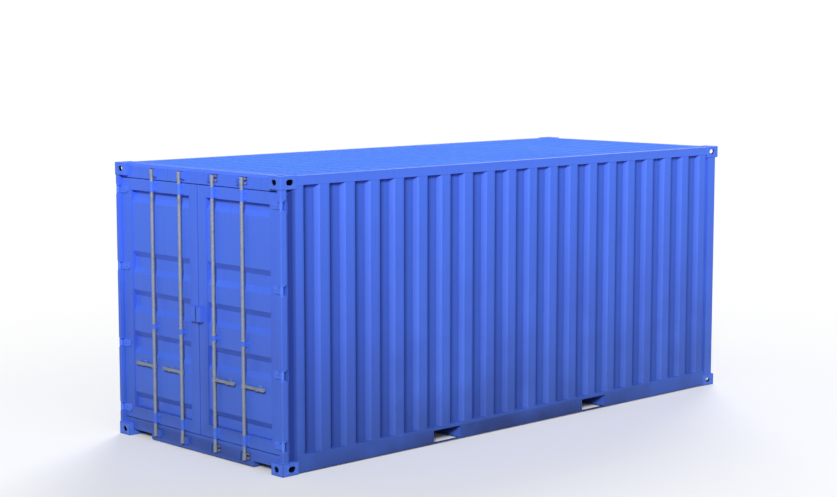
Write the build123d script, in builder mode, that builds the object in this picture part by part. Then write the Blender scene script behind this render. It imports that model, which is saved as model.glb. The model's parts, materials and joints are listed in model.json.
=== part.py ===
from build123d import *
from math import atan2, degrees, hypot
import os

# A twenty foot steel shipping container with double doors, in millimetres.
# X runs along its length with the doors at -X, Y runs across it, and Z is up.
# The origin is the centre of its footprint. Left and right are as seen facing the doors.

# Overall size
length = 6058
width = 2438
height = 2591

# Corner castings
casting_length = 178
casting_width = 162
casting_height = 118
casting_round = 6
casting_bearing_wall = 28
casting_outer_wall = 15
casting_inner_wall = 12
slot_length = 124
slot_width = 63.5
slot_from_end = 102.5
slot_from_side = 89.5
hole_from_face = 57
side_hole_length = 79.5
end_hole_length = 63.5
hole_width = 51

# Where the frame's faces lie behind the faces of the castings
skin_inset = 4
roof_drop = 6
base_gap = 12.5

# Door posts: a folded box whose inner web runs on behind the leaf
post_face_width = 45
post_side_depth = 60
post_wall = 6
post_web = 10
post_web_depth = 101
post_round = 8

# Front posts
front_post_setback = 36
front_post_depth = 122
front_post_face_width = 45

# Base frame and floor
base_frame_height = 154
rail_thickness = 4.5
rail_top_flange = 48
rail_bottom_flange = 30
pocket_width = 355
pocket_height = 115
pocket_cap = 6
pocket_side = 6
pocket_spacing = 2080
member_count = 20
member_flange = 45
member_thickness = 4
member_end_gap = 22
floor_thickness = 28

# Door sill and header
header_height = 130.5
beam_depth = 100
beam_wall = 4
header_bevel = 24
sill_notch_length = 300
sill_notch_height = 50

# Front rails and top side rails
front_rail_depth = 60
front_rail_wall = 4
top_rail_width = 60
top_rail_height = 80
top_rail_wall = 3

# Corrugated side walls
wall_sheet = 2
wall_inset = 2
side_rib_count = 20
side_rib = 108
side_slope = 42
side_depth = 36

# Corrugated front wall
front_rib_count = 10
front_rib = 110
front_slope = 18
front_depth = 45
front_wall_inset = 4

# Roof sheet with pressed valleys
roof_sheet = 2
valley_pitch = 209
valley_width = 118
valley_depth = 20
valley_slope = 14
valley_margin = 60

# Door leaves
leaf_recess = 44
leaf_depth = 50
leaf_edge_gap = 8
seam_gap = 14
hinge_stile = 140
seam_stile = 118
leaf_top_rail = 107
leaf_bottom_rail = 111
leaf_wall = 3.2
panel_sheet = 2
panel_inset = 10
groove_depth = 32
groove_slope = 55
groove_flat = 100
groove_top_shares = (0.070, 0.353, 0.544, 0.722)
last_groove_share = 0.943
gasket_depth = 8
gasket_width = 22
gasket_lip = 3

# Hinges
hinge_height_shares = (0.039, 0.311, 0.634, 0.953)
barrel_radius = 17
barrel_height = 68
barrel_gap = 0.8
lug_thickness = 14
pin_radius = 9
pin_clearance = 0.3
blade_thickness = 10
blade_reach = 96
blade_chamfer = 16
notch_gap = 2

# Locking bars
bar_place_shares = (0.6, 0.133)
bar_depth = 22
bar_radius = 16.5
cam_height = 60
cam_hub_radius = 20
cam_reach = 44
cam_nose_width = 16
cam_split = 18
cam_hook_width = 30
cam_hook_depth = 10
cam_hook_round = 4
collar_radius = 20
collar_height = 14
collar_gap = 0.8

# Keepers for the cams
keeper_clearance = 5
keeper_wall = 3
keeper_cheek = 6
keeper_round = 8
keeper_chamfer = 14

# Brackets that hold the bars on the leaf
strap_clearance = 0.5
strap_thickness = 3.5
foot_thickness = 4
foot_width = 26
end_bracket_height = 96
mid_bracket_height = 45
mid_bracket_share = 0.393

# Handles
handle_height_share = 0.211
handle_length = 292
handle_thickness = 13
handle_height = 26
handle_grip = 70
handle_grip_height = 32
handle_neck_radius = 13
seal_hole_radius = 7
hub_radius = 21
hub_height = 44
cheek_thickness = 5
cheek_gap = 0.5
cheek_radius = 15
pivot_reach = 38
pivot_radius = 6
rest_reach = 190
rest_width = 36
rest_thickness = 5
rest_lip = 41
rest_gap = 0.3

# Lock box, one half on each leaf
lock_box_half_width = 66
lock_box_height = 136
lock_box_depth = 40
lock_box_plate = 5
lock_box_share = 0.488

# How far a cut runs past the face that it opens
overrun = 5

# Places that follow from the sizes above
half_width = width / 2
door_end = -length / 2
front_end = length / 2
skin = half_width - skin_inset
roof_top = height - roof_drop
casting_seat = height - casting_height
casting_side = half_width - casting_width

frame_top = base_gap + base_frame_height
header_bottom = roof_top - header_height
side_rail_bottom = roof_top - top_rail_height

post_front = door_end + skin_inset
post_inner = skin - post_face_width
web_end = post_front + post_web_depth

beam_front = door_end + leaf_recess
beam_back = beam_front + beam_depth

front_post_front = front_end - front_post_setback
front_post_back = front_post_front - front_post_depth
front_post_inner = skin - front_post_face_width
front_rail_back = front_post_front - front_rail_depth

member_bottom = base_gap + rail_thickness
pocket_top = member_bottom + pocket_height
floor_bottom = pocket_top + pocket_cap
rail_web = skin - rail_thickness

leaf_face = door_end + leaf_recess
leaf_back = leaf_face + leaf_depth
leaf_outer = post_inner - leaf_edge_gap
leaf_inner = seam_gap / 2
leaf_bottom = frame_top + leaf_edge_gap
leaf_top = header_bottom - leaf_edge_gap
leaf_height = leaf_top - leaf_bottom

panel_outer = leaf_outer - hinge_stile
panel_inner = leaf_inner + seam_stile
panel_bottom = leaf_bottom + leaf_bottom_rail
panel_top = leaf_top - leaf_top_rail
panel_height = panel_top - panel_bottom
panel_width = panel_outer - panel_inner
panel_face = leaf_face + panel_inset

hinge_x = post_front + barrel_radius
hinge_y = skin - barrel_radius
hinge_set = barrel_height + 2 * (barrel_gap + lug_thickness)
hinge_heights = [leaf_bottom + share * leaf_height for share in hinge_height_shares]
notch_back = leaf_face + notch_gap

bar_x = door_end + bar_depth
bar_offsets = [panel_inner + share * panel_width for share in bar_place_shares]
keeper_low = (base_gap + frame_top) / 2
keeper_high = (header_bottom + roof_top) / 2
cam_swing = cam_hook_round + hypot(
    cam_reach - cam_hook_round, cam_hook_width - cam_nose_width / 2 - cam_hook_round
)
keeper_inside = cam_swing + keeper_clearance
keeper_back = bar_x + keeper_inside
keeper_half_height = cam_height / 2 + keeper_clearance
handle_z = panel_bottom + handle_height_share * panel_height
mid_bracket_z = panel_bottom + mid_bracket_share * panel_height


def block(low, high, mode=Mode.ADD):
    """A rectangular block between its lowest and highest corners, in the current part."""
    size = [top - bottom for bottom, top in zip(low, high)]
    middle = tuple((top + bottom) / 2 for bottom, top in zip(low, high))
    with Locations(middle):
        Box(*size, mode=mode)


def save(piece, name):
    """Labels a finished piece and writes it."""
    piece.part.label = name
    export_step(piece.part, f"parts/{name}.step")


def mirrored(piece):
    """The right-hand twin of a left-hand piece."""
    with BuildPart() as twin:
        mirror(piece.part, about=Plane.XZ)
    return twin


def save_pair(piece, name):
    """Writes a left-hand piece and its right-hand twin."""
    save(piece, f"{name}_left")
    save(mirrored(piece), f"{name}_right")


def corner_casting():
    """The lower left casting at the door end: hollow, a slot below, holes in end and side."""
    with BuildPart() as casting:
        block(
            (door_end, casting_side, 0),
            (door_end + casting_length, half_width, casting_height),
        )
        outer_corner = (door_end, half_width, 0)
        fillet(casting.edges().sort_by_distance(outer_corner)[:-3], casting_round)
        block(
            (door_end + casting_outer_wall, casting_side + casting_inner_wall, casting_bearing_wall),
            (
                door_end + casting_length - casting_inner_wall,
                half_width - casting_outer_wall,
                casting_height - casting_inner_wall,
            ),
            Mode.SUBTRACT,
        )
        with BuildSketch(Plane.XY.offset(-overrun)):
            with Locations((door_end + slot_from_end, half_width - slot_from_side)):
                SlotOverall(slot_length, slot_width)
        extrude(amount=casting_bearing_wall + 2 * overrun, mode=Mode.SUBTRACT)
        with BuildSketch(Plane.YZ.offset(door_end - overrun)):
            with Locations((half_width - slot_from_side, hole_from_face)):
                SlotOverall(end_hole_length, hole_width)
        extrude(amount=casting_outer_wall + 2 * overrun, mode=Mode.SUBTRACT)
        with BuildSketch(Plane.XZ.offset(-half_width - overrun)):
            with Locations((door_end + slot_from_end, hole_from_face)):
                SlotOverall(side_hole_length, hole_width)
        extrude(amount=casting_outer_wall + 2 * overrun, mode=Mode.SUBTRACT)
    return casting


def save_castings():
    """The four lower castings, and the four upper ones as their reflection at half height."""
    casting = corner_casting()
    with BuildPart() as lower:
        add(casting.part)
        mirror(about=Plane.YZ)
        mirror(about=Plane.XZ)
    save(lower, "corner_castings_bottom")
    with BuildPart() as upper:
        mirror(lower.part, about=Plane.XY.offset(height / 2))
    save(upper, "corner_castings_top")


def door_post():
    """A folded box post, notched at each hinge, with its inner web running on behind the leaf."""
    box_back = post_front + post_side_depth
    web_face = post_inner + post_web
    with BuildPart() as post:
        with BuildSketch(Plane.XY.offset(casting_height)) as section:
            with BuildLine():
                Polyline(
                    (post_front, skin),
                    (box_back, skin),
                    (box_back, web_face),
                    (web_end, web_face),
                    (web_end, post_inner),
                    (post_front, post_inner),
                    close=True,
                )
            make_face()
            fillet(section.vertices().sort_by_distance((post_front, skin))[0], post_round)
            with BuildLine():
                Polyline(
                    (post_front + post_wall, skin - post_wall),
                    (box_back - post_wall, skin - post_wall),
                    (box_back - post_wall, web_face),
                    (post_front + post_wall, web_face),
                    close=True,
                )
            make_face(mode=Mode.SUBTRACT)
        extrude(amount=casting_seat - casting_height)
        for hinge_z in hinge_heights:
            low = hinge_z - hinge_set / 2
            high = hinge_z + hinge_set / 2
            block(
                (post_front - overrun, post_inner - overrun, low),
                (notch_back, skin + overrun, high),
                Mode.SUBTRACT,
            )
            block(
                (post_front, skin - post_wall, low),
                (box_back + overrun, skin + overrun, high),
                Mode.SUBTRACT,
            )
    return post


def front_post():
    """A square-cornered box post at the closed end."""
    with BuildPart() as post:
        with BuildSketch(Plane.XY.offset(casting_height)) as section:
            with Locations((front_post_front, skin)):
                Rectangle(front_post_depth, front_post_face_width, align=(Align.MAX, Align.MAX))
            fillet(section.vertices().sort_by_distance((front_post_front, skin))[0], post_round)
            with Locations((front_post_front - post_wall, skin - post_wall)):
                Rectangle(
                    front_post_depth - 2 * post_wall,
                    front_post_face_width - 2 * post_wall,
                    align=(Align.MAX, Align.MAX),
                    mode=Mode.SUBTRACT,
                )
        extrude(amount=casting_seat - casting_height)
    return post


def hinge_lugs():
    """Two lugs and a pin for each hinge, seated in the notches of the posts."""
    with BuildPart() as lugs:
        for hinge_z in hinge_heights:
            for bottom in (hinge_z - hinge_set / 2, hinge_z + hinge_set / 2 - lug_thickness):
                with BuildSketch(Plane.XY.offset(bottom)) as lug:
                    with Locations((post_front, skin)):
                        Rectangle(
                            notch_back - post_front,
                            post_face_width,
                            align=(Align.MIN, Align.MAX),
                        )
                    fillet(lug.vertices().sort_by_distance((post_front, skin))[0], barrel_radius)
                extrude(amount=lug_thickness)
            with Locations((hinge_x, hinge_y, hinge_z)):
                Cylinder(pin_radius, hinge_set)
        mirror(about=Plane.XZ)
    return lugs


def box_beam(bottom, top, end_bottom, end_top, bevel=0):
    """A hollow beam across the door end, with solid ends that reach in between the posts."""
    with BuildPart() as beam:
        with BuildSketch(Plane.XZ) as section:
            with Locations((beam_front, bottom)):
                Rectangle(beam_depth, top - bottom, align=(Align.MIN, Align.MIN))
            if bevel:
                chamfer(section.vertices().sort_by_distance((beam_front, top))[0], bevel)
            offset(amount=-beam_wall, kind=Kind.INTERSECTION, mode=Mode.SUBTRACT)
        extrude(amount=casting_side, both=True)
        block((beam_front, casting_side, end_bottom), (web_end, post_inner, end_top))
        block((beam_front, -post_inner, end_bottom), (web_end, -casting_side, end_top))
    return beam


def cut_keeper_windows(middle_z):
    """Cuts the windows that take the keepers through the front of the current beam."""
    outside = keeper_inside + keeper_wall
    half_height = keeper_half_height + keeper_wall
    for bar_y in bar_offsets:
        for side in (1, -1):
            block(
                (beam_front - overrun, side * bar_y - outside, middle_z - half_height),
                (beam_front + beam_wall, side * bar_y + outside, middle_z + half_height),
                Mode.SUBTRACT,
            )


def door_header():
    """The beam over the doors."""
    beam = box_beam(header_bottom, roof_top, header_bottom, casting_seat, header_bevel)
    with BuildPart() as header:
        add(beam.part)
        cut_keeper_windows(keeper_high)
    return header


def door_sill():
    """The beam under the doors, with a lined notch beside each casting."""
    beam = box_beam(base_gap, frame_top, casting_height, frame_top)
    notch_start = casting_side - sill_notch_length
    notch_top = base_gap + sill_notch_height
    with BuildPart() as sill:
        add(beam.part)
        cut_keeper_windows(keeper_low)
        for side in (1, -1):
            start, end = sorted((side * notch_start, side * casting_side))
            lining_start, lining_end = sorted((side * (notch_start - beam_wall), side * casting_side))
            block(
                (beam_front, lining_start, base_gap),
                (beam_back, lining_end, notch_top + beam_wall),
            )
            block(
                (beam_front - overrun, start, base_gap - overrun),
                (beam_back + overrun, end, notch_top),
                Mode.SUBTRACT,
            )
    return sill


def box_rail(bottom, rail_height):
    """A hollow rail across the closed end between the castings."""
    with BuildPart() as rail:
        with BuildSketch(Plane.XZ):
            with Locations((front_post_front, bottom)):
                Rectangle(front_rail_depth, rail_height, align=(Align.MAX, Align.MIN))
            with Locations((front_post_front - front_rail_wall, bottom + front_rail_wall)):
                Rectangle(
                    front_rail_depth - 2 * front_rail_wall,
                    rail_height - 2 * front_rail_wall,
                    align=(Align.MAX, Align.MIN),
                    mode=Mode.SUBTRACT,
                )
        extrude(amount=casting_side, both=True)
    return rail


def top_side_rail():
    """A box section between the upper castings."""
    with BuildPart() as rail:
        with BuildSketch(Plane.YZ):
            with Locations((skin, roof_top)):
                Rectangle(top_rail_width, top_rail_height, align=(Align.MAX, Align.MAX))
            with Locations((skin - top_rail_wall, roof_top - top_rail_wall)):
                Rectangle(
                    top_rail_width - 2 * top_rail_wall,
                    top_rail_height - 2 * top_rail_wall,
                    align=(Align.MAX, Align.MAX),
                    mode=Mode.SUBTRACT,
                )
        extrude(amount=length / 2 - casting_length, both=True)
    return rail


def bottom_side_rail():
    """A channel between the lower castings, cut through for the fork pockets."""
    with BuildPart() as rail:
        with BuildSketch(Plane.YZ):
            with BuildLine():
                Polyline(
                    (skin, base_gap),
                    (skin, frame_top),
                    (skin - rail_top_flange, frame_top),
                    (skin - rail_top_flange, frame_top - rail_thickness),
                    (rail_web, frame_top - rail_thickness),
                    (rail_web, member_bottom),
                    (skin - rail_bottom_flange, member_bottom),
                    (skin - rail_bottom_flange, base_gap),
                    close=True,
                )
            make_face()
        extrude(amount=length / 2 - casting_length, both=True)
        for pocket_x in (-pocket_spacing / 2, pocket_spacing / 2):
            block(
                (pocket_x - pocket_width / 2, rail_web - overrun, member_bottom),
                (pocket_x + pocket_width / 2, skin + overrun, pocket_top),
                Mode.SUBTRACT,
            )
    return rail


def corrugation(start, end, ribs, rib, slope, depth):
    """Points (along, inward) of a trapezoidal sheet that starts and ends on its inner level."""
    pitch = (end - start - 2 * slope - rib) / (ribs - 1)
    points = []
    for index in range(ribs):
        rib_start = start + slope + index * pitch
        points += [
            (rib_start - slope, depth),
            (rib_start, 0),
            (rib_start + rib, 0),
            (rib_start + rib + slope, depth),
        ]
    return points


def side_wall():
    """The left side's corrugated sheet, fitted round the castings between its rails."""
    face = skin - wall_inset
    points = corrugation(web_end, front_post_back, side_rib_count, side_rib, side_slope, side_depth)
    outer = [(x, face - inward) for x, inward in points]
    inner = [(x, y - wall_sheet) for x, y in reversed(outer)]
    rail_end = length / 2 - casting_length
    inside = face - side_depth - wall_sheet - overrun
    with BuildPart() as wall:
        with BuildSketch(Plane.XY.offset(casting_height)):
            with BuildLine():
                Polyline(*outer, *inner, close=True)
            make_face()
        extrude(amount=side_rail_bottom - casting_height)
        block(
            (-rail_end, inside, casting_height - overrun),
            (rail_end, skin, frame_top),
            Mode.SUBTRACT,
        )
        for low, high in ((door_end, -rail_end), (rail_end, front_end)):
            block(
                (low, inside, casting_seat),
                (high, skin, side_rail_bottom + overrun),
                Mode.SUBTRACT,
            )
    return wall


def front_wall():
    """The closed end's corrugated sheet, fitted round the castings between its rails."""
    face = front_post_front - front_wall_inset
    points = corrugation(
        -front_post_inner, front_post_inner, front_rib_count, front_rib, front_slope, front_depth
    )
    outer = [(face - inward, y) for y, inward in points]
    inner = [(x - wall_sheet, y) for x, y in reversed(outer)]
    inside = face - front_depth - wall_sheet - overrun
    with BuildPart() as wall:
        with BuildSketch(Plane.XY.offset(casting_height)):
            with BuildLine():
                Polyline(*outer, *inner, close=True)
            make_face()
        extrude(amount=side_rail_bottom - casting_height)
        block(
            (inside, -casting_side, casting_height - overrun),
            (front_end, casting_side, frame_top),
            Mode.SUBTRACT,
        )
        for low, high in ((-half_width, -casting_side), (casting_side, half_width)):
            block(
                (inside, low, casting_seat),
                (front_end, high, side_rail_bottom + overrun),
                Mode.SUBTRACT,
            )
    return wall


def roof_panel():
    """A pressed sheet between the rails: a flat margin round a row of shallow valleys."""
    half_span = skin - top_rail_width
    span = front_rail_back - beam_back
    count = int((span - 2 * valley_margin) // valley_pitch)
    valley_length = 2 * (half_span - valley_margin)
    taper = degrees(atan2(valley_slope, valley_depth))
    middle = (beam_back + front_rail_back) / 2
    with BuildPart() as roof:
        block(
            (beam_back, -half_span, roof_top - roof_sheet),
            (front_rail_back, half_span, roof_top),
        )
        with BuildSketch(Plane.XY.offset(roof_top - roof_sheet)):
            with Locations((middle, 0)):
                with GridLocations(valley_pitch, 0, count, 1):
                    Rectangle(valley_width + 2 * roof_sheet, valley_length + 2 * roof_sheet)
        extrude(amount=-valley_depth, taper=taper)
        with BuildSketch(Plane.XY.offset(roof_top)):
            with Locations((middle, 0)):
                with GridLocations(valley_pitch, 0, count, 1):
                    Rectangle(valley_width, valley_length)
        extrude(amount=-valley_depth, taper=taper, mode=Mode.SUBTRACT)
        for low_x, high_x in (
            (door_end, door_end + casting_length),
            (front_end - casting_length, front_end),
        ):
            for low_y, high_y in ((casting_side, half_width), (-half_width, -casting_side)):
                block(
                    (low_x, low_y, roof_top - roof_sheet - overrun),
                    (high_x, high_y, height),
                    Mode.SUBTRACT,
                )
    return roof


def floor_boards():
    """The floor between the side rails, from the sill to the front rail."""
    half_span = skin - rail_top_flange
    with BuildPart() as boards:
        block(
            (beam_back, -half_span, floor_bottom),
            (front_rail_back, half_span, floor_bottom + floor_thickness),
        )
    return boards


def cross_members():
    """Channels under the floor, left out where the fork pockets run."""
    reach = length / 2 - casting_length - member_end_gap - member_flange
    pitch = 2 * reach / (member_count - 1)
    clear = pocket_width / 2 + pocket_side + member_flange
    with BuildPart() as members:
        for index in range(member_count):
            x = -reach + index * pitch
            if abs(abs(x) - pocket_spacing / 2) < clear:
                continue
            with BuildSketch(Plane.XZ):
                with BuildLine():
                    Polyline(
                        (x, member_bottom),
                        (x + member_flange, member_bottom),
                        (x + member_flange, member_bottom + member_thickness),
                        (x + member_thickness, member_bottom + member_thickness),
                        (x + member_thickness, floor_bottom - member_thickness),
                        (x + member_flange, floor_bottom - member_thickness),
                        (x + member_flange, floor_bottom),
                        (x, floor_bottom),
                        close=True,
                    )
                make_face()
            extrude(amount=rail_web, both=True)
    return members


def fork_pockets():
    """Two tunnels across the base, closed above and at the sides."""
    with BuildPart() as pockets:
        with BuildSketch(Plane.XZ):
            for pocket_x in (-pocket_spacing / 2, pocket_spacing / 2):
                with Locations((pocket_x, member_bottom)):
                    Rectangle(
                        pocket_width + 2 * pocket_side,
                        pocket_height + pocket_cap,
                        align=(Align.CENTER, Align.MIN),
                    )
                    Rectangle(
                        pocket_width,
                        pocket_height,
                        align=(Align.CENTER, Align.MIN),
                        mode=Mode.SUBTRACT,
                    )
        extrude(amount=rail_web, both=True)
    return pockets


def cam_keepers():
    """Pans let into sill and header, each with a prong that stands beside its cam."""
    outside = keeper_inside + keeper_wall
    half_height = keeper_half_height + keeper_wall
    depth = keeper_back + keeper_wall - beam_front
    with BuildPart() as keepers:
        for middle_z in (keeper_low, keeper_high):
            with BuildSketch(Plane.XY.offset(middle_z - half_height)):
                for bar_y in bar_offsets:
                    with Locations((beam_front + depth / 2, bar_y)):
                        Rectangle(depth, 2 * outside)
            extrude(amount=2 * half_height)
        fillet(keepers.edges().filter_by(Axis.Z).group_by(Axis.X)[-1], keeper_round)
        for bar_y in bar_offsets:
            for middle_z in (keeper_low, keeper_high):
                block(
                    (beam_front, bar_y - keeper_inside, middle_z - keeper_half_height),
                    (keeper_back, bar_y + keeper_inside, middle_z + keeper_half_height),
                    Mode.SUBTRACT,
                )
                block(
                    (post_front, bar_y - keeper_inside - keeper_cheek, middle_z - keeper_half_height),
                    (beam_front, bar_y - keeper_inside, middle_z + keeper_half_height),
                )
        chamfer(keepers.edges().filter_by(Axis.Y).group_by(Axis.X)[0], keeper_chamfer)
        mirror(about=Plane.XZ)
    return keepers


def door_frame():
    """Two tubular stiles joined by channels, open to the inside."""
    with BuildPart() as frame:
        with BuildSketch(Plane.XY.offset(leaf_bottom)):
            for low, high in ((leaf_inner, panel_inner), (panel_outer, leaf_outer)):
                with Locations(((leaf_face + leaf_back) / 2, (low + high) / 2)):
                    Rectangle(leaf_depth, high - low)
                    Rectangle(
                        leaf_depth - 2 * leaf_wall, high - low - 2 * leaf_wall, mode=Mode.SUBTRACT
                    )
        extrude(amount=leaf_height)
        for low, high in ((leaf_bottom, panel_bottom), (panel_top, leaf_top)):
            block((leaf_face, panel_inner, low), (leaf_back, panel_outer, high))
            block(
                (leaf_face + leaf_wall, panel_inner, low + leaf_wall),
                (leaf_back, panel_outer, high - leaf_wall),
                Mode.SUBTRACT,
            )
    return frame


def door_panel():
    """The leaf's sheet with level grooves, half a groove at its head and foot."""
    points = [(0, panel_bottom)]
    for share in groove_top_shares:
        top = panel_bottom + share * panel_height
        if share == groove_top_shares[0]:
            points = [(groove_depth, panel_bottom)]
        else:
            bottom = top - 2 * groove_slope - groove_flat
            points += [(0, bottom), (groove_depth, bottom + groove_slope)]
        points += [(groove_depth, top - groove_slope), (0, top)]
    last = panel_bottom + last_groove_share * panel_height
    points += [(0, last), (groove_depth, last + groove_slope), (groove_depth, panel_top)]
    outer = [(panel_face + inward, z) for inward, z in points]
    inner = [(x + panel_sheet, z) for x, z in reversed(outer)]
    with BuildPart() as panel:
        with BuildSketch(Plane.XZ.offset(-panel_outer)):
            with BuildLine():
                Polyline(*outer, *inner, close=True)
            make_face()
        extrude(amount=panel_width)
    return panel


def door_gasket():
    """A seal round the back of the leaf whose lip stands past its edge."""
    with BuildPart() as gasket:
        with BuildSketch(Plane.YZ.offset(leaf_back)):
            with Locations(((leaf_inner + leaf_outer) / 2, (leaf_bottom + leaf_top) / 2)):
                Rectangle(leaf_outer - leaf_inner + 2 * gasket_lip, leaf_height + 2 * gasket_lip)
                Rectangle(
                    leaf_outer - leaf_inner + 2 * gasket_lip - 2 * gasket_width,
                    leaf_height + 2 * gasket_lip - 2 * gasket_width,
                    mode=Mode.SUBTRACT,
                )
        extrude(amount=gasket_depth)
    return gasket


def hinge_blades():
    """A barrel round each pin with a strap that lies on the face of the leaf."""
    with BuildPart() as blades:
        for hinge_z in hinge_heights:
            with BuildPart() as blade:
                with BuildSketch(Plane.XY.offset(hinge_z - barrel_height / 2)):
                    with Locations((hinge_x, hinge_y)):
                        Circle(barrel_radius)
                    with Locations((leaf_face, hinge_y)):
                        Rectangle(
                            blade_thickness,
                            hinge_y - leaf_outer + blade_reach,
                            align=(Align.MAX, Align.MAX),
                        )
                    with Locations((hinge_x, hinge_y)):
                        Circle(pin_radius + pin_clearance, mode=Mode.SUBTRACT)
                extrude(amount=barrel_height)
                tip = blade.edges().filter_by(Axis.X).sort_by(Axis.Y)[:2]
                chamfer(tip, blade_chamfer)
    return blades


def bar_bracket(bar_y, bottom, bracket_height, seat):
    """A strap round a bar with a foot each side on the seat, added to the current part."""
    inside = bar_radius + strap_clearance
    outside = inside + strap_thickness
    with BuildSketch(Plane.XY.offset(bottom)) as section:
        with Locations((bar_x, bar_y)):
            Circle(outside)
            Rectangle(seat - bar_x, 2 * outside, align=(Align.MIN, Align.CENTER))
        with Locations((seat, bar_y)):
            Rectangle(foot_thickness, 2 * (outside + foot_width), align=(Align.MAX, Align.CENTER))
        with Locations((bar_x, bar_y)):
            Circle(inside, mode=Mode.SUBTRACT)
            Rectangle(
                seat - bar_x, 2 * inside, align=(Align.MIN, Align.CENTER), mode=Mode.SUBTRACT
            )
    extrude(section.sketch, amount=bracket_height)


def bar_brackets():
    """Brackets at the foot, middle and head of both bars of one leaf."""
    foot_z = (leaf_bottom + panel_bottom - end_bracket_height) / 2
    head_z = (panel_top + leaf_top - end_bracket_height) / 2
    middle_z = mid_bracket_z - mid_bracket_height / 2
    with BuildPart() as brackets:
        for bar_y in bar_offsets:
            bar_bracket(bar_y, foot_z, end_bracket_height, leaf_face)
            bar_bracket(bar_y, head_z, end_bracket_height, leaf_face)
            bar_bracket(bar_y, middle_z, mid_bracket_height, panel_face)
    return brackets


def locking_bar(bar_y):
    """A round bar with a cam at each end, two collars and the fork that carries the handle."""
    pivot_y = bar_y + pivot_reach
    with BuildPart() as bar:
        with Locations((bar_x, bar_y, (keeper_low + keeper_high) / 2)):
            Cylinder(bar_radius, keeper_high - keeper_low + cam_height)
        for middle_z in (keeper_low, keeper_high):
            with Locations((bar_x, bar_y, middle_z)):
                Cylinder(cam_hub_radius, cam_height)
            with BuildSketch(Plane.XY.offset(middle_z - cam_height / 2)) as nose:
                with Locations((bar_x, bar_y)):
                    Rectangle(cam_reach, cam_nose_width, align=(Align.MIN, Align.CENTER))
                with Locations((bar_x + cam_reach, bar_y - cam_nose_width / 2)):
                    Rectangle(cam_hook_depth, cam_hook_width, align=(Align.MAX, Align.MIN))
                fillet(nose.vertices().group_by(Axis.X)[-1], cam_hook_round)
            extrude(amount=cam_height)
            block(
                (bar_x + cam_hub_radius, bar_y - cam_hook_width, middle_z - cam_split / 2),
                (bar_x + cam_reach + overrun, bar_y + cam_hook_width, middle_z + cam_split / 2),
                Mode.SUBTRACT,
            )
        away = (mid_bracket_height + collar_height) / 2 + collar_gap
        for collar_z in (mid_bracket_z - away, mid_bracket_z + away):
            with Locations((bar_x, bar_y, collar_z)):
                Cylinder(collar_radius, collar_height)
        with Locations((bar_x, bar_y, handle_z)):
            Cylinder(hub_radius, hub_height)
        fork_width = handle_thickness + 2 * (cheek_gap + cheek_thickness)
        with BuildSketch(Plane.YZ.offset(bar_x - fork_width / 2)):
            with Locations((bar_y, handle_z)):
                Rectangle(pivot_reach, 2 * cheek_radius, align=(Align.MIN, Align.CENTER))
            with Locations((pivot_y, handle_z)):
                Circle(cheek_radius)
        extrude(amount=fork_width)
        fork_gap = handle_thickness / 2 + cheek_gap
        block(
            (bar_x - fork_gap, bar_y + hub_radius, handle_z - cheek_radius - overrun),
            (bar_x + fork_gap, pivot_y + cheek_radius + overrun, handle_z + cheek_radius + overrun),
            Mode.SUBTRACT,
        )
        with Locations(Location((bar_x, pivot_y, handle_z), (0, 90, 0))):
            Cylinder(pivot_radius, fork_width)
    return bar


def handle(bar_y):
    """A flat lever on its pivot, with a deeper grip and a hole for a seal at its tip."""
    pivot_y = bar_y + pivot_reach
    tip_y = bar_y + handle_length
    with BuildPart() as lever:
        with BuildSketch(Plane.YZ.offset(bar_x - handle_thickness / 2)):
            with Locations((pivot_y, handle_z)):
                Circle(handle_neck_radius)
                Rectangle(
                    tip_y - pivot_y - handle_grip / 2,
                    handle_height,
                    align=(Align.MIN, Align.CENTER),
                )
            with Locations((tip_y - handle_grip / 2, handle_z)):
                SlotOverall(handle_grip, handle_grip_height)
            with Locations((tip_y - handle_grip_height / 2, handle_z)):
                Circle(seal_hole_radius, mode=Mode.SUBTRACT)
            with Locations((pivot_y, handle_z)):
                Circle(pivot_radius + pin_clearance, mode=Mode.SUBTRACT)
        extrude(amount=handle_thickness)
    return lever


def handle_rests():
    """Angle brackets on the panel, on which the handles lie."""
    shelf_top = handle_z - handle_height / 2 - rest_gap
    shelf_front = bar_x - handle_thickness / 2
    with BuildPart() as rests:
        for bar_y in bar_offsets:
            with BuildSketch(Plane.XZ.offset(rest_width / 2 - rest_reach - bar_y)):
                with BuildLine():
                    Polyline(
                        (shelf_front, shelf_top),
                        (panel_face - rest_thickness, shelf_top),
                        (panel_face - rest_thickness, shelf_top + rest_lip),
                        (panel_face, shelf_top + rest_lip),
                        (panel_face, shelf_top - rest_thickness),
                        (shelf_front, shelf_top - rest_thickness),
                        close=True,
                    )
                make_face()
            extrude(amount=-rest_width)
    return rests


def lock_box():
    """Half of the box round the padlock: front, top and outer side, open to the seam and below."""
    bottom = leaf_bottom + lock_box_share * leaf_height - lock_box_height / 2
    top = bottom + lock_box_height
    front = leaf_face - lock_box_depth
    with BuildPart() as box:
        block((front, leaf_inner, bottom), (leaf_face, leaf_inner + lock_box_half_width, top))
        block(
            (front + lock_box_plate, leaf_inner - overrun, bottom - overrun),
            (
                leaf_face + overrun,
                leaf_inner + lock_box_half_width - lock_box_plate,
                top - lock_box_plate,
            ),
            Mode.SUBTRACT,
        )
    return box


os.makedirs("parts", exist_ok=True)

save_castings()
save_pair(door_post(), "door_post")
save_pair(front_post(), "front_post")
save(hinge_lugs(), "hinge_lugs")
save(door_header(), "door_header")
save(door_sill(), "door_sill")
save(box_rail(side_rail_bottom, top_rail_height), "front_top_rail")
save(box_rail(base_gap, base_frame_height), "front_bottom_rail")
save_pair(top_side_rail(), "top_side_rail")
save_pair(bottom_side_rail(), "bottom_side_rail")
save_pair(side_wall(), "side_wall")
save(front_wall(), "front_wall")
save(roof_panel(), "roof_panel")
save(floor_boards(), "floor")
save(cross_members(), "cross_members")
save(fork_pockets(), "fork_pockets")
save(cam_keepers(), "cam_keepers")

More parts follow.
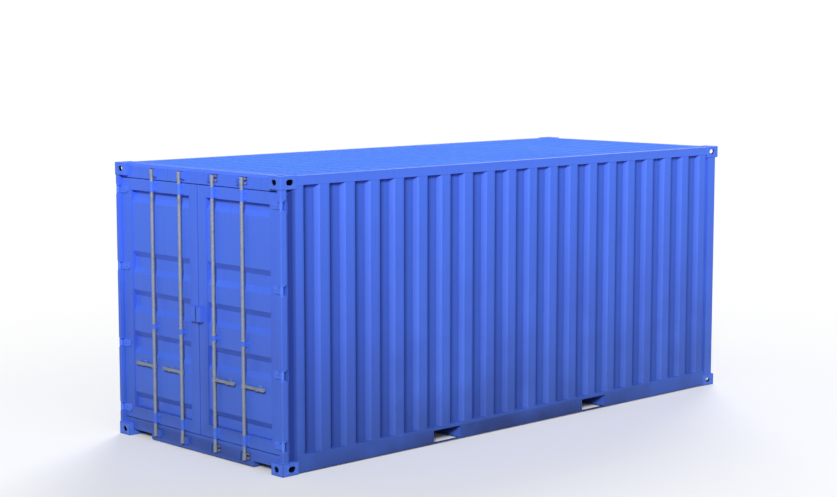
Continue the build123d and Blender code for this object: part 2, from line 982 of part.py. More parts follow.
save_pair(door_frame(), "door_frame")
save_pair(door_panel(), "door_panel")
save_pair(door_gasket(), "door_gasket")
save_pair(hinge_blades(), "hinge_blades")
save_pair(bar_brackets(), "bar_brackets")
save_pair(handle_rests(), "handle_rests")
save_pair(lock_box(), "lock_box")

for place, offset_y in zip(("outer", "inner"), bar_offsets):
    save_pair(locking_bar(offset_y), f"locking_bar_{place}")
    save_pair(handle(offset_y), f"handle_{place}")
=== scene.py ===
import json
import math

import bmesh
import bpy
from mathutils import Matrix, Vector


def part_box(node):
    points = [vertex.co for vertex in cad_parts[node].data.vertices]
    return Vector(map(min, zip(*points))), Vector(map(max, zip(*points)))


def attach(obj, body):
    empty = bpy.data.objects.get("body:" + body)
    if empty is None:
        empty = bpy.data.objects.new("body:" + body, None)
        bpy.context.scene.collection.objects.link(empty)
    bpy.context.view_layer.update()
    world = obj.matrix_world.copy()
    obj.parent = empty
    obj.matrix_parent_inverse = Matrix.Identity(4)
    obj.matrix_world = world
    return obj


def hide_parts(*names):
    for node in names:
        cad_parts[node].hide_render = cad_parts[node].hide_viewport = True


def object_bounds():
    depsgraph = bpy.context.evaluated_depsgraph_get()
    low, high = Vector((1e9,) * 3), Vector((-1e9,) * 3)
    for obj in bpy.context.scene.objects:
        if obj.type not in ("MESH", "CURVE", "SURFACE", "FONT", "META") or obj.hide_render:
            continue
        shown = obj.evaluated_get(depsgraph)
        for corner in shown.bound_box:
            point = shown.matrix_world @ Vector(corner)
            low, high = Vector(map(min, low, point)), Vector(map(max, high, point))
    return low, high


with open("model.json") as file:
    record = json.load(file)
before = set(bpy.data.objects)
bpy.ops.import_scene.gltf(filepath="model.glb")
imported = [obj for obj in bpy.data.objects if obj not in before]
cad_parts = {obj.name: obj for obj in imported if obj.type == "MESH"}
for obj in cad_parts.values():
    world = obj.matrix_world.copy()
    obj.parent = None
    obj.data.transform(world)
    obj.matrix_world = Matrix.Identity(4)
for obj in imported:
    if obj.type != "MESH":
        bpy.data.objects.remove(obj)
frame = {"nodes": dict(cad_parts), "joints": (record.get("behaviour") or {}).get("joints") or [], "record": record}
cad_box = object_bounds()
nodes = frame["nodes"]

SIDES = (("left", 1), ("right", -1))
low_corner, high_corner = cad_box
length = high_corner.x - low_corner.x
width = high_corner.y - low_corner.y
height = high_corner.z - low_corner.z


# Corrugated walls, in metres, as the CAD has them

RIB_COUNT = {"side": 20, "front": 10}
RIB_FLAT = {"side": 0.108, "front": 0.110}
RIB_SLOPE = {"side": 0.042, "front": 0.018}
RIB_DEPTH = {"side": 0.036, "front": 0.045}


def rib_pitch(kind, start, end):
    """The distance from rib to rib of a corrugated wall between two ends."""
    return (end - start - 2 * RIB_SLOPE[kind] - RIB_FLAT[kind]) / (RIB_COUNT[kind] - 1)


# Shader helpers

# Which sockets of the mix node serve colours
MIX_FACTOR = 0
MIX_FIRST = 6
MIX_SECOND = 7
MIX_RESULT = 2


def new_material(name):
    """A material with its principled shader."""
    material = bpy.data.materials.new(name)
    material.use_nodes = True
    tree = material.node_tree
    return material, tree, tree.nodes["Principled BSDF"]


def add_node(tree, kind, inputs=None, **settings):
    """A shader node with its settings and the values of its sockets."""
    made = tree.nodes.new(kind)
    for key, value in settings.items():
        setattr(made, key, value)
    for key, value in (inputs or {}).items():
        made.inputs[key].default_value = value
    return made


def object_place(tree):
    """Where a point lies on its piece, in metres."""
    return add_node(tree, "ShaderNodeTexCoord").outputs["Object"]


def parts_of(tree, vector):
    """The sockets X, Y and Z of a vector."""
    split = add_node(tree, "ShaderNodeSeparateXYZ")
    tree.links.new(vector, split.inputs["Vector"])
    return split.outputs


def stretched(tree, vector, scale):
    """A vector scaled by a share for each axis."""
    mapping = add_node(tree, "ShaderNodeMapping", {"Scale": scale})
    tree.links.new(vector, mapping.inputs["Vector"])
    return mapping.outputs["Vector"]


def noise(tree, vector, scale, detail=4.0, roughness=0.55):
    """A noise texture's value at a scale in waves for each metre."""
    made = add_node(
        tree, "ShaderNodeTexNoise", {"Scale": scale, "Detail": detail, "Roughness": roughness}
    )
    tree.links.new(vector, made.inputs["Vector"])
    return made.outputs["Fac"]


def ramp(tree, value, stops):
    """A colour ramp over a value, with stops of place and colour."""
    made = add_node(tree, "ShaderNodeValToRGB")
    elements = made.color_ramp.elements
    stops = list(stops)
    while len(elements) < len(stops):
        elements.new(0.5)
    for element, (place, colour) in zip(elements, stops):
        element.position = place
        element.color = (*colour, 1.0)
    tree.links.new(value, made.inputs["Fac"])
    return made.outputs["Color"]


def mix_colour(tree, factor, first, second):
    """Two colours mixed; each is a socket or a plain colour, the factor a socket or a number."""
    made = add_node(tree, "ShaderNodeMix", data_type="RGBA")
    for socket, value in ((MIX_FACTOR, factor), (MIX_FIRST, first), (MIX_SECOND, second)):
        if isinstance(value, bpy.types.NodeSocket):
            tree.links.new(value, made.inputs[socket])
        elif socket == MIX_FACTOR:
            made.inputs[socket].default_value = value
        else:
            made.inputs[socket].default_value = (*value, 1.0)
    return made.outputs[MIX_RESULT]


def map_range(tree, value, low, high, to_low, to_high):
    """A value carried from one range to another, and held at its ends."""
    made = add_node(
        tree,
        "ShaderNodeMapRange",
        {"From Min": low, "From Max": high, "To Min": to_low, "To Max": to_high},
    )
    tree.links.new(value, made.inputs["Value"])
    return made.outputs["Result"]


def lay_over(tree, under, over, value, start, full, most):
    """A colour over another: none where a value is below start, the share most from full on."""
    return mix_colour(tree, map_range(tree, value, start, full, 0.0, most), under, over)


def maths(tree, operation, *values):
    """One step of arithmetic over sockets and numbers."""
    made = add_node(tree, "ShaderNodeMath", operation=operation)
    for index, value in enumerate(values):
        if isinstance(value, bpy.types.NodeSocket):
            tree.links.new(value, made.inputs[index])
        else:
            made.inputs[index].default_value = value
    return made.outputs[0]


def bump(tree, value, strength, distance, base=None):
    """A bump from a height, on top of another bump if there is one."""
    made = add_node(tree, "ShaderNodeBump", {"Strength": strength, "Distance": distance})
    tree.links.new(value, made.inputs["Height"])
    if base is not None:
        tree.links.new(base, made.inputs["Normal"])
    return made.outputs["Normal"]


def show_mixed(tree, share, first, second, output):
    """Two shaders mixed and sent to an output node of this kind."""
    mixed = add_node(tree, "ShaderNodeMixShader")
    for index, socket in enumerate((share, first.outputs[0], second.outputs[0])):
        tree.links.new(socket, mixed.inputs[index])
    tree.links.new(mixed.outputs[0], add_node(tree, output).inputs["Surface"])


# Materials

# The paint from the ground up, with the shares of the height where each shade stands. The darker shades low down
# are painted shade, as of light falling from above.
PAINT_LOW = (0.020, 0.048, 0.225)
PAINT_MIDDLE = (0.045, 0.110, 0.60)
PAINT_HIGH = (0.073, 0.188, 0.98)
PAINT_LEVELS = (0.0, 0.45, 0.97)
PAINT_FADED = (0.085, 0.21, 0.90)

# Brightness of the low, middle and high shade, and a tint of all of them
PAINT_TONES = (1.0, 1.0, 1.0)
# The side walls and bottom rails are darker still low down: painted shade.
SIDE_TONES = (0.68, 0.97, 0.98)
PAINT_TINT = (1.0, 1.0, 1.0)
# The roof's tint makes it paler and greener: partly sun fading, partly painted light on its lit top.
ROOF_TINT = (1.06, 1.22, 0.86)

GRIME = (0.018, 0.028, 0.080)
# Painted shade for the side walls' recesses, the corners beside the posts and the strips at the ribs.
RECESS_SHADE = (0.012, 0.028, 0.20)
# Near black painted shade inside the castings' cavities.
CAVITY_SHADE = (0.006, 0.010, 0.040)
STREAK_STRETCH = (9.0, 9.0, 0.5)

# Gloss of paint, which is duller on faces that look up and where shade is painted. A face looks up
# by the Z of its normal, and the dulling grows between these two.
SPECULAR = 0.42
SPECULAR_ABOVE = 0.06
UPWARD_START = 0.2
UPWARD_FULL = 0.9
SHADE_GLOSS = 0.1

CASTING_SIZE = {"X": 0.178, "Y": 0.162, "Z": 0.118}
CASTING_SKIN = 0.010

# Painted shade on the side walls: in their recesses, a painted shadow beside their posts, and a
# dark strip beside each rib. The corner's start and end are metres from the container's middle.
# The strip's reach is a share of the pitch from rib to rib.
wall_start, wall_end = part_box("side_wall_left")
SIDE_FACE = wall_end.y
SIDE_PITCH = rib_pitch("side", wall_start.x, wall_end.x)
STRIP_PLACE = wall_start.x + 2 * RIB_SLOPE["side"] + RIB_FLAT["side"]
STRIP_REACH = 0.22
STRIP_SHARE = 0.75
RECESS_SHARE = 0.28
CORNER_START = 2.855
CORNER_END = 2.895
CORNER_SHARE = 0.90

STEEL_LIGHT = (0.34, 0.38, 0.45)
STEEL_DARK = (0.16, 0.185, 0.23)
STEEL_METALLIC = 0.35
# Share of the height over which the steel is darkened as painted shade.
SHADED_HEIGHT_SHARE = 0.8

RUBBER_DARK = (0.012, 0.012, 0.013)
RUBBER_DUSTY = (0.045, 0.044, 0.042)
RUBBER_ROUGHNESS = 0.82

WOOD_DARK = (0.10, 0.048, 0.022)
WOOD_MIDDLE = (0.22, 0.115, 0.055)
WOOD_LIGHT = (0.34, 0.20, 0.105)
WOOD_WORN = (0.30, 0.24, 0.18)
WOOD_STRETCH = (1.2, 26.0, 26.0)


def casting_cavity(tree, place):
    """One inside the castings' cavities and zero on their faces."""
    inside = 1.0
    halves = (("X", length / 2, 0.0), ("Y", width / 2, 0.0), ("Z", height / 2, height / 2))
    for axis, half, middle in halves:
        away = maths(tree, "ABSOLUTE", maths(tree, "SUBTRACT", place[axis], middle))
        depth = half - CASTING_SIZE[axis] / 2
        band = maths(tree, "COMPARE", away, depth, CASTING_SIZE[axis] / 2 - CASTING_SKIN)
        inside = maths(tree, "MULTIPLY", inside, band)
    return inside


def wall_painted_shade(tree, place):
    """The share of painted shade on a side wall: the greatest of recess, corner and strip."""
    inward = maths(tree, "ABSOLUTE", place["Y"])
    floor_of_recess = SIDE_FACE - RIB_DEPTH["side"]
    recess = map_range(tree, inward, SIDE_FACE, floor_of_recess, 0.0, RECESS_SHARE)
    away = maths(tree, "ABSOLUTE", place["X"])
    corner = map_range(tree, away, CORNER_START, CORNER_END, 0.0, CORNER_SHARE)
    # The strip lies half way between whole numbers of ribs counted from this start.
    from_start = maths(tree, "SUBTRACT", place["X"], STRIP_PLACE - SIDE_PITCH / 2)
    in_rib = maths(tree, "FRACT", maths(tree, "DIVIDE", from_start, SIDE_PITCH))
    beside = maths(tree, "ABSOLUTE", maths(tree, "SUBTRACT", in_rib, 0.5))
    strip = map_range(tree, beside, 0.0, STRIP_REACH, STRIP_SHARE, 0.0)
    return maths(tree, "MAXIMUM", maths(tree, "MAXIMUM", recess, corner), strip)


def paint_material(
    name,
    roughness,
    grain_scale,
    grain_depth,
    wear,
    tones=PAINT_TONES,
    tint=PAINT_TINT,
    recesses=False,
    cavities=False,
):
    """Blue coating: darker towards the ground as painted shade, mottled, specked, streaked, faded at its edges."""
    material, tree, shader = new_material(name)
    place = object_place(tree)
    axes = parts_of(tree, place)
    level = map_range(tree, axes["Z"], 0.0, height, 0.0, 1.0)
    shades = [
        tuple(tone * share * part for share, part in zip(tint, shade))
        for tone, shade in zip(tones, (PAINT_LOW, PAINT_MIDDLE, PAINT_HIGH))
    ]
    # Darker towards the ground: painted shade, as of light from above.
    colour = ramp(tree, level, zip(PAINT_LEVELS, shades))
    clouds = noise(tree, place, scale=1.3, detail=5.0)
    colour = lay_over(tree, colour, PAINT_FADED, clouds, start=0.42, full=0.70, most=0.35)
    specks = noise(tree, place, scale=55.0, detail=3.0, roughness=0.7)
    colour = lay_over(tree, colour, GRIME, specks, start=0.60, full=0.78, most=0.30)
    upright = stretched(tree, place, STREAK_STRETCH)
    streaks = noise(tree, upright, scale=3.0, detail=4.0, roughness=0.6)
    colour = lay_over(tree, colour, GRIME, streaks, start=0.58, full=0.75, most=0.22)
    edges = add_node(tree, "ShaderNodeNewGeometry").outputs["Pointiness"]
    colour = lay_over(tree, colour, PAINT_FADED, edges, start=0.52, full=0.60, most=wear)
    normal = add_node(tree, "ShaderNodeNewGeometry").outputs["Normal"]
    upward = parts_of(tree, normal)["Z"]
    gloss = map_range(tree, upward, UPWARD_START, UPWARD_FULL, SPECULAR, SPECULAR_ABOVE)
    # Painted shade: the castings' cavities drawn near black.
    if cavities:
        colour = mix_colour(tree, casting_cavity(tree, axes), colour, CAVITY_SHADE)
    # Painted shade and shadow on the side walls, which also dulls their gloss.
    if recesses:
        painted_shade = wall_painted_shade(tree, axes)
        colour = mix_colour(tree, painted_shade, colour, RECESS_SHADE)
        gloss = maths(tree, "MULTIPLY", gloss, map_range(tree, painted_shade, 0.0, 1.0, 1.0, SHADE_GLOSS))
    rough = map_range(tree, clouds, 0.3, 0.7, roughness - 0.06, roughness + 0.10)
    dents = bump(tree, noise(tree, place, scale=4.0, detail=2.0), strength=0.25, distance=0.004)
    grain = noise(tree, place, grain_scale, detail=3.0)
    surface = bump(tree, grain, strength=0.35, distance=grain_depth, base=dents)
    tree.links.new(colour, shader.inputs["Base Color"])
    tree.links.new(rough, shader.inputs["Roughness"])
    tree.links.new(gloss, shader.inputs["Specular IOR Level"])
    tree.links.new(surface, shader.inputs["Normal"])
    return material


def galvanised_material():
    """Zinc with its spangle of crystals, in dull patches, darker towards the ground as painted shade."""
    material, tree, shader = new_material("galvanised")
    place = object_place(tree)
    crystals = add_node(tree, "ShaderNodeTexVoronoi", {"Scale": 95.0, "Randomness": 1.0})
    tree.links.new(place, crystals.inputs["Vector"])
    tint = add_node(tree, "ShaderNodeSeparateColor")
    tree.links.new(crystals.outputs["Color"], tint.inputs["Color"])
    spangle = tint.outputs["Red"]
    colour = lay_over(tree, STEEL_LIGHT, STEEL_DARK, spangle, start=0.0, full=1.0, most=0.45)
    patches = noise(tree, place, scale=9.0, detail=5.0, roughness=0.65)
    colour = lay_over(tree, colour, STEEL_DARK, patches, start=0.52, full=0.72, most=0.6)
    # Darker towards the ground: painted shade, as of light from above.
    level = parts_of(tree, place)["Z"]
    low = map_range(tree, level, 0.0, SHADED_HEIGHT_SHARE * height, 0.65, 0.0)
    colour = mix_colour(tree, low, colour, STEEL_DARK)
    rough = map_range(tree, patches, 0.3, 0.7, 0.38, 0.58)
    grain = noise(tree, place, scale=160.0, detail=3.0)
    tree.links.new(colour, shader.inputs["Base Color"])
    tree.links.new(rough, shader.inputs["Roughness"])
    tree.links.new(bump(tree, grain, strength=0.3, distance=0.0008), shader.inputs["Normal"])
    shader.inputs["Metallic"].default_value = STEEL_METALLIC
    return material


def rubber_material():
    """A matt black seal, greyed by dust."""
    material, tree, shader = new_material("seal")
    place = object_place(tree)
    dust = noise(tree, place, scale=18.0, detail=4.0)
    colour = ramp(tree, dust, ((0.35, RUBBER_DARK), (0.75, RUBBER_DUSTY)))
    grain = noise(tree, place, scale=260.0)
    tree.links.new(colour, shader.inputs["Base Color"])
    tree.links.new(bump(tree, grain, strength=0.3, distance=0.0006), shader.inputs["Normal"])
    shader.inputs["Roughness"].default_value = RUBBER_ROUGHNESS
    return material


def plywood_material():
    """Dark hardwood ply with its grain along the floor and scuffs across it."""
    material, tree, shader = new_material("ply")
    place = object_place(tree)
    fibres = stretched(tree, place, WOOD_STRETCH)
    grain = noise(tree, fibres, scale=3.2, detail=8.0, roughness=0.68)
    colour = ramp(tree, grain, ((0.30, WOOD_DARK), (0.52, WOOD_MIDDLE), (0.74, WOOD_LIGHT)))
    scuffs = noise(tree, place, scale=6.0, detail=6.0, roughness=0.7)
    colour = lay_over(tree, colour, WOOD_WORN, scuffs, start=0.55, full=0.75, most=0.5)
    rough = map_range(tree, scuffs, 0.3, 0.7, 0.45, 0.75)
    tree.links.new(colour, shader.inputs["Base Color"])
    tree.links.new(rough, shader.inputs["Roughness"])
    tree.links.new(bump(tree, grain, strength=0.4, distance=0.0015), shader.inputs["Normal"])
    return material


paint = paint_material(
    "coating",
    roughness=0.46,
    grain_scale=140.0,
    grain_depth=0.0006,
    wear=0.35,
)
side_paint = paint_material(
    "coating_on_side",
    roughness=0.50,
    grain_scale=140.0,
    grain_depth=0.0006,
    wear=0.25,
    tones=SIDE_TONES,
    recesses=True,
)
rail_paint = paint_material(
    "coating_on_rail",
    roughness=0.50,
    grain_scale=140.0,
    grain_depth=0.0006,
    wear=0.25,
    tones=SIDE_TONES,
)
roof_paint = paint_material(
    "coating_on_roof",
    roughness=0.80,
    grain_scale=90.0,
    grain_depth=0.0008,
    wear=0.20,
    tint=ROOF_TINT,
)
cast_paint = paint_material(
    "coating_on_casting",
    roughness=0.52,
    grain_scale=60.0,
    grain_depth=0.0020,
    wear=0.75,
    cavities=True,
)
galvanised = galvanised_material()
rubber = rubber_material()
plywood = plywood_material()

slot_material = {
    "container_paint": paint,
    "castings": cast_paint,
    "hinge_steel": cast_paint,
    "galvanised_steel": galvanised,
    "gasket_rubber": rubber,
    "plywood": plywood,
}


def dress_cad_nodes():
    """Gives each carried-over piece the material of its slot in the record."""
    slots = {part["node"]: part["material_slot"] for part in frame["record"]["subparts"]}
    for name, piece in nodes.items():
        piece.data.materials.clear()
        piece.data.materials.append(slot_material[slots[name]])
    nodes["roof_panel"].data.materials[0] = roof_paint
    for side, _ in SIDES:
        nodes[f"side_wall_{side}"].data.materials[0] = side_paint
        nodes[f"bottom_side_rail_{side}"].data.materials[0] = rail_paint


# Small pieces made here

CROWN_LEAN = 1.6
BEAD_RADIUS = 0.0028
BEAD_STEP = 0.014
BEAD_SIDES = 6
BEAD_RIPPLE = 0.12
BEAD_RIPPLE_TURN = 2.4


def mesh_piece(name, body, material, build):
    """A mesh filled by build(bm), shown with a material and riding on a body."""
    bm = bmesh.new()
    build(bm)
    mesh = bpy.data.meshes.new(name)
    bm.to_mesh(mesh)
    bm.free()
    mesh.materials.append(material)
    piece = bpy.data.objects.new(name, mesh)
    bpy.context.scene.collection.objects.link(piece)
    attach(piece, body)
    return piece


def add_ring(bm, middle, direction, radius, sides):
    """Corners evenly round a point, square to a direction."""
    across = direction.orthogonal().normalized()
    along = direction.cross(across)
    turns = [step * math.tau / sides for step in range(sides)]
    return [
        bm.verts.new(
            middle + across * (radius * math.cos(turn)) + along * (radius * math.sin(turn))
        )
        for turn in turns
    ]


def join_rings(bm, rings):
    """A closed skin over rings that follow one another."""
    sides = len(rings[0])
    for lower, upper in zip(rings, rings[1:]):
        for step in range(sides):
            after = (step + 1) % sides
            bm.faces.new((lower[step], lower[after], upper[after], upper[step]))
    bm.faces.new(list(reversed(rings[0])))
    bm.faces.new(rings[-1])


def add_prism(bm, place, out, sides, radius, rise, crown=0.0):
    """A many-sided head that stands on place along out, with a bevelled crown if it has one."""
    out = Vector(out).normalized()
    levels = [(0.0, radius), (rise - crown, radius)]
    if crown:
        levels.append((rise, radius - crown * CROWN_LEAN))
    join_rings(
        bm,
        [add_ring(bm, Vector(place) + out * level, out, reach, sides) for level, reach in levels],
    )


def finely(corners, step):
    """The corners of a path with more points between them, at most a step apart."""
    points = []
    for first, second in zip(corners, corners[1:]):
        first, second = Vector(first), Vector(second)
        count = max(1, math.ceil((second - first).length / step))
        points += [first.lerp(second, index / count) for index in range(count)]
    return points + [Vector(corners[-1])]


def add_bead(bm, corners):
    """A weld bead: a thin tube along a path, with a small ripple in its thickness."""
    points = finely(corners, BEAD_STEP)
    last = len(points) - 1
    rings = []
    for index, point in enumerate(points):
        direction = (points[min(index + 1, last)] - points[max(index - 1, 0)]).normalized()
        radius = BEAD_RADIUS * (1.0 + BEAD_RIPPLE * math.sin(index * BEAD_RIPPLE_TURN))
        rings.append(add_ring(bm, point, direction, radius, BEAD_SIDES))
    join_rings(bm, rings)


def joint_place(name):
    """Where a joint's axis stands at rest."""
    return next(Vector(joint["pos_m"]) for joint in frame["joints"] if joint["name"] == name)


# Rivets on the doors

RIVET_RADIUS = 0.010
RIVET_RISE = 0.0055
RIVET_SIDES = 20
RIM_RADIUS = 0.0125
RIM_RISE_SHARE = 0.30
RIM_CROWN_SHARE = 0.12
DOME_RISE_SHARE = 0.70
DOME_CROWN_SHARE = 0.42

HINGE_SHARES = (0.039, 0.311, 0.634, 0.953)
BLADE_RISE = 0.010
BLADE_RIVETS = (0.030, 0.072)
FOOT_RISE = 0.004
FOOT_RIVET = 0.0335
END_RIVETS = (-0.030, 0.030)
MIDDLE_BRACKET_SHARE = 0.393
REST_REACH = 0.190
REST_RIVET = 0.014
REST_RISE = 0.005


def add_rivet(bm, place, out):
    """A domed head with a small rim, standing on place along out."""
    rim_rise = RIVET_RISE * RIM_RISE_SHARE
    rim_crown = RIVET_RISE * RIM_CROWN_SHARE
    dome_rise = RIVET_RISE * DOME_RISE_SHARE
    dome_crown = RIVET_RISE * DOME_CROWN_SHARE
    rim_top = Vector(place) + Vector(out) * rim_rise
    add_prism(bm, place, out, RIVET_SIDES, RIM_RADIUS, rim_rise, rim_crown)
    add_prism(bm, rim_top, out, RIVET_SIDES, RIVET_RADIUS, dome_rise, dome_crown)


def door_rivets(side, sign):
    """Rivets through the hinge blades, the brackets' feet and the handle rests of one door."""
    leaf_low, leaf_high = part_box(f"door_frame_{side}")
    panel_low, panel_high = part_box(f"door_panel_{side}")
    rest_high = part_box(f"handle_rests_{side}")[1]
    panel_height = panel_high.z - panel_low.z
    edge = max(abs(leaf_low.y), abs(leaf_high.y))
    out = (-1.0, 0.0, 0.0)
    places = []
    for share in HINGE_SHARES:
        z = leaf_low.z + share * (leaf_high.z - leaf_low.z)
        places += [(leaf_low.x - BLADE_RISE, sign * (edge - inward), z) for inward in BLADE_RIVETS]
    foot_z = (leaf_low.z + panel_low.z) / 2
    head_z = (leaf_high.z + panel_high.z) / 2
    middle_z = panel_low.z + MIDDLE_BRACKET_SHARE * panel_height
    for bar in ("outer", "inner"):
        bar_y = abs(joint_place(f"{side}_{bar}_bar_turn").y)
        for y in (bar_y - FOOT_RIVET, bar_y + FOOT_RIVET):
            places += [
                (leaf_low.x - FOOT_RISE, sign * y, z + offset)
                for z in (foot_z, head_z)
                for offset in END_RIVETS
            ]
            places.append((panel_low.x - FOOT_RISE, sign * y, middle_z))
        rest_y = bar_y + REST_REACH
        places.append((panel_low.x - REST_RISE, sign * rest_y, rest_high.z - REST_RIVET))

    def build(bm):
        for place in places:
            add_rivet(bm, place, out)

    mesh_piece(f"door_rivets_{side}", f"{side}_door", cast_paint, build)


# Weld beads on walls and frame

POST_SIDE = 0.060


def rib_profile(kind, start, end):
    """Corners (along, inward) of a corrugated wall's outer face between two ends."""
    flat, slope, depth = RIB_FLAT[kind], RIB_SLOPE[kind], RIB_DEPTH[kind]
    pitch = rib_pitch(kind, start, end)
    corners = []
    for index in range(RIB_COUNT[kind]):
        rib = start + slope + index * pitch
        foot = rib + flat + slope
        corners += [(rib - slope, depth), (rib, 0.0), (rib + flat, 0.0), (foot, depth)]
    return corners


def clipped(corners, low, high):
    """The part of a level profile that lies between two places along it."""
    inside = []
    for (a, a_in), (b, b_in) in zip(corners, corners[1:]):
        if b <= low or a >= high:
            continue
        ends = []
        for place in (max(a, low), min(b, high)):
            share = (place - a) / (b - a)
            ends.append((place, a_in + share * (b_in - a_in)))
        inside += ends if not inside else ends[1:]
    return inside


def side_wall_beads(side, sign):
    """Beads along the foot and head of a side wall, where its sheet meets the rails."""
    wall_low, wall_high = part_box(f"side_wall_{side}")
    rail_low, rail_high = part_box(f"bottom_side_rail_{side}")
    face = max(abs(wall_low.y), abs(wall_high.y))
    profile = clipped(rib_profile("side", wall_low.x, wall_high.x), rail_low.x, rail_high.x)
    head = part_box(f"top_side_rail_{side}")[0].z

    def build(bm):
        for z in (rail_high.z, head):
            add_bead(bm, [(x, sign * (face - inward), z) for x, inward in profile])

    mesh_piece(f"side_wall_beads_{side}", "container", paint, build)


def front_wall_beads():
    """Beads along the foot and head of the closed end's wall."""
    wall_low, wall_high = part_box("front_wall")
    rail_low, rail_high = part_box("front_bottom_rail")
    profile = clipped(rib_profile("front", wall_low.y, wall_high.y), rail_low.y, rail_high.y)
    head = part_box("front_top_rail")[0].z

    def build(bm):
        for z in (rail_high.z, head):
            add_bead(bm, [(wall_high.x - inward, y, z) for y, inward in profile])

    mesh_piece("front_wall_beads", "container", paint, build)


def casting_beads():
    """Beads where posts and rails meet the corner castings."""
    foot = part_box("corner_castings_bottom")[1].z
    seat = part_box("corner_castings_top")[0].z

    def post_beads(bm, post, outward, sign):
        """Beads round the outer corner of a post, at its foot and head."""
        post_low, post_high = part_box(post)
        skin = sign * max(abs(post_low.y), abs(post_high.y))
        inner = sign * min(abs(post_low.y), abs(post_high.y))
        outer = post_high.x if outward > 0 else post_low.x
        back = outer - outward * POST_SIDE
        for z in (foot, seat):
            add_bead(bm, [(outer, inner, z), (outer, skin, z), (back, skin, z)])

    def rail_beads(bm, rail, sign):
        """Upright beads at both ends of a side rail, as high as rail and casting meet."""
        rail_low, rail_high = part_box(rail)
        skin = sign * max(abs(rail_low.y), abs(rail_high.y))
        low = max(rail_low.z, seat) if rail.startswith("top") else rail_low.z
        high = min(rail_high.z, foot) if rail.startswith("bottom") else rail_high.z
        for x in (rail_low.x, rail_high.x):
            add_bead(bm, [(x, skin, low), (x, skin, high)])

    def build(bm):
        for side, sign in SIDES:
            post_beads(bm, f"door_post_{side}", -1, sign)
            post_beads(bm, f"front_post_{side}", 1, sign)
            rail_beads(bm, f"top_side_rail_{side}", sign)
            rail_beads(bm, f"bottom_side_rail_{side}", sign)

    mesh_piece("casting_beads", "container", cast_paint, build)


# Floor

BOARD_COLUMNS = 2
BOARD_ROWS = 5
BOARD_GAP = 0.003
BOARD_EDGE = 0.0015
SCREW_RADIUS = 0.0055
SCREW_RISE = 0.0004
SCREW_PITCH = 0.15
SCREW_SIDES = 12
SCREW_OFFSET = 0.02
MEMBER_COUNT = 20
MEMBER_REACH = 2.784


def floor_boards():
    """Plywood sheets laid side by side over the cross members."""
    low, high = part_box("floor")
    board_length = (high.x - low.x) / BOARD_ROWS
    board_width = (high.y - low.y) / BOARD_COLUMNS
    size = (board_length - BOARD_GAP, board_width - BOARD_GAP, high.z - low.z)

    def build(bm):
        for row in range(BOARD_ROWS):
            for column in range(BOARD_COLUMNS):
                x = low.x + (row + 0.5) * board_length
                y = low.y + (column + 0.5) * board_width
                middle = Vector((x, y, (low.z + high.z) / 2))
                made = bmesh.ops.create_cube(bm, size=1.0)["verts"]
                bmesh.ops.scale(bm, vec=size, verts=made)
                bmesh.ops.translate(bm, vec=middle, verts=made)
        bmesh.ops.bevel(
            bm, geom=list(bm.edges), offset=BOARD_EDGE, segments=2, affect="EDGES", profile=0.5
        )

    boards = mesh_piece("floor_boards", "container", plywood, build)
    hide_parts("floor")


def floor_screws():
    """Rows of nearly flush screw heads, where the boards lie on the cross members."""
    low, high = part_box("floor")
    count = int((high.y - low.y) / SCREW_PITCH)
    first = -(count - 1) / 2 * SCREW_PITCH
    up = (0.0, 0.0, 1.0)

    def build(bm):
        for row in range(MEMBER_COUNT):
            x = -MEMBER_REACH + row * 2 * MEMBER_REACH / (MEMBER_COUNT - 1) + SCREW_OFFSET
            for index in range(count):
                place = (x, first + index * SCREW_PITCH, high.z)
                add_prism(bm, place, up, SCREW_SIDES, SCREW_RADIUS, SCREW_RISE)

    mesh_piece("floor_screws", "container", galvanised, build)


# Camera, floor and lights

CAMERA_PLACE = (-12.624, -12.894, 3.769)
CAMERA_LOOK = (0.6876, 0.7165, -0.1178)
CAMERA_SENSOR = 36.0
CAMERA_LENS = 77.3
CAMERA_REACH = 200.0

GROUND_SIZE = 120.0
GROUND_SEEN = (0.93, 0.93, 0.93)
GROUND_UNSEEN = (0.12, 0.12, 0.13)
WHITE_START = 4.5
WHITE_FULL = 9.0

WHITE = (1.0, 1.0, 1.0, 1.0)
SKY = (0.96, 0.98, 1.0, 1.0)
SKY_STRENGTH = 0.30

# Name, where each stands as seen from the container, strength, and spread in degrees
SUNS = (
    ("key", (-0.84, -0.76, 0.60), 3.1, 14.0),
    ("fill_on_side", (-0.10, -1.0, 0.45), 0.35, 50.0),
    ("fill_behind", (0.8, 0.6, 0.6), 1.5, 30.0),
)
SUN_DISTANCE = 10.0


def make_camera():
    """Stands about where the photograph was taken from, fitted to the container's corners."""
    data = bpy.data.cameras.new("camera")
    data.sensor_width = CAMERA_SENSOR
    data.lens = CAMERA_LENS
    data.clip_end = CAMERA_REACH
    camera = bpy.data.objects.new("camera", data)
    camera.location = CAMERA_PLACE
    camera.rotation_mode = "QUATERNION"
    camera.rotation_quaternion = Vector(CAMERA_LOOK).to_track_quat("-Z", "Y")
    bpy.context.scene.collection.objects.link(camera)
    bpy.context.scene.camera = camera


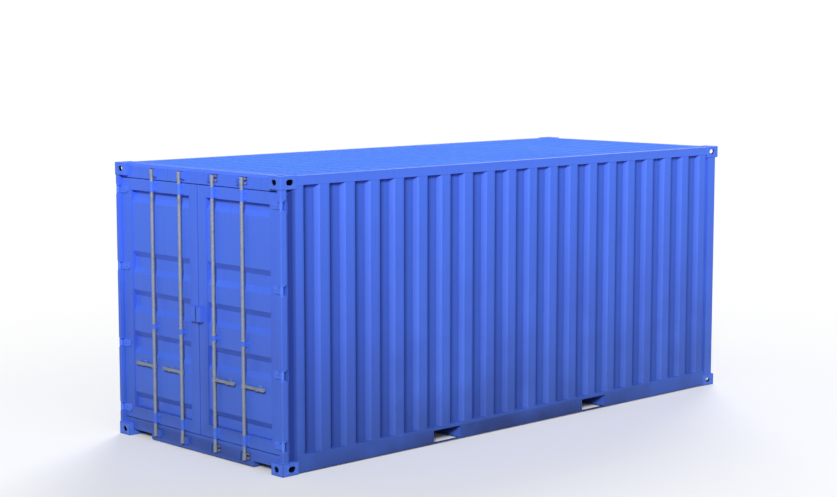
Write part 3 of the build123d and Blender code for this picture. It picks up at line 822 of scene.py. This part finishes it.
def make_floor():
    """A floor that keeps the shadow near the container and runs out to plain white.

    It is white to the camera and in gloss, and dark to diffuse light, which would brighten
    the foot of the walls.
    """
    bpy.ops.mesh.primitive_plane_add(size=GROUND_SIZE, location=(0.0, 0.0, 0.0))
    floor = bpy.context.object
    floor.name = "ground"
    material = bpy.data.materials.new("ground")
    material.use_nodes = True
    tree = material.node_tree
    tree.nodes.clear()
    distance = add_node(tree, "ShaderNodeVectorMath", operation="LENGTH")
    tree.links.new(object_place(tree), distance.inputs[0])
    far = map_range(tree, distance.outputs["Value"], WHITE_START, WHITE_FULL, 0.0, 1.0)
    path = add_node(tree, "ShaderNodeLightPath").outputs
    seen = maths(tree, "MAXIMUM", path["Is Camera Ray"], path["Is Glossy Ray"])
    far_and_seen = maths(tree, "MULTIPLY", far, seen)
    matt = add_node(tree, "ShaderNodeBsdfDiffuse")
    shade = mix_colour(tree, seen, GROUND_UNSEEN, GROUND_SEEN)
    tree.links.new(shade, matt.inputs["Color"])
    white = add_node(tree, "ShaderNodeEmission", {"Color": WHITE, "Strength": 1.0})
    show_mixed(tree, far_and_seen, matt, white, "ShaderNodeOutputMaterial")
    floor.data.materials.append(material)


def make_world():
    """Soft light from all round, which the camera sees as plain white."""
    world = bpy.data.worlds.new("studio")
    bpy.context.scene.world = world
    world.use_nodes = True
    tree = world.node_tree
    tree.nodes.clear()
    soft = add_node(tree, "ShaderNodeBackground", {"Color": SKY, "Strength": SKY_STRENGTH})
    white = add_node(tree, "ShaderNodeBackground", {"Color": WHITE, "Strength": 1.0})
    seen = add_node(tree, "ShaderNodeLightPath").outputs["Is Camera Ray"]
    show_mixed(tree, seen, soft, white, "ShaderNodeOutputWorld")


def make_sun(name, towards, strength, spread):
    """A distant soft lamp that stands in the direction towards, seen from the container."""
    data = bpy.data.lights.new(name, "SUN")
    data.energy = strength
    data.angle = math.radians(spread)
    lamp = bpy.data.objects.new(name, data)
    lamp.rotation_mode = "QUATERNION"
    lamp.rotation_quaternion = (-Vector(towards)).to_track_quat("-Z", "Y")
    lamp.location = Vector(towards).normalized() * SUN_DISTANCE
    bpy.context.scene.collection.objects.link(lamp)


dress_cad_nodes()
for door_side, door_sign in SIDES:
    door_rivets(door_side, door_sign)
    side_wall_beads(door_side, door_sign)
front_wall_beads()
casting_beads()
floor_boards()
floor_screws()
make_camera()
make_floor()
make_world()
for sun in SUNS:
    make_sun(*sun)
bpy.context.scene.view_settings.view_transform = "Standard"
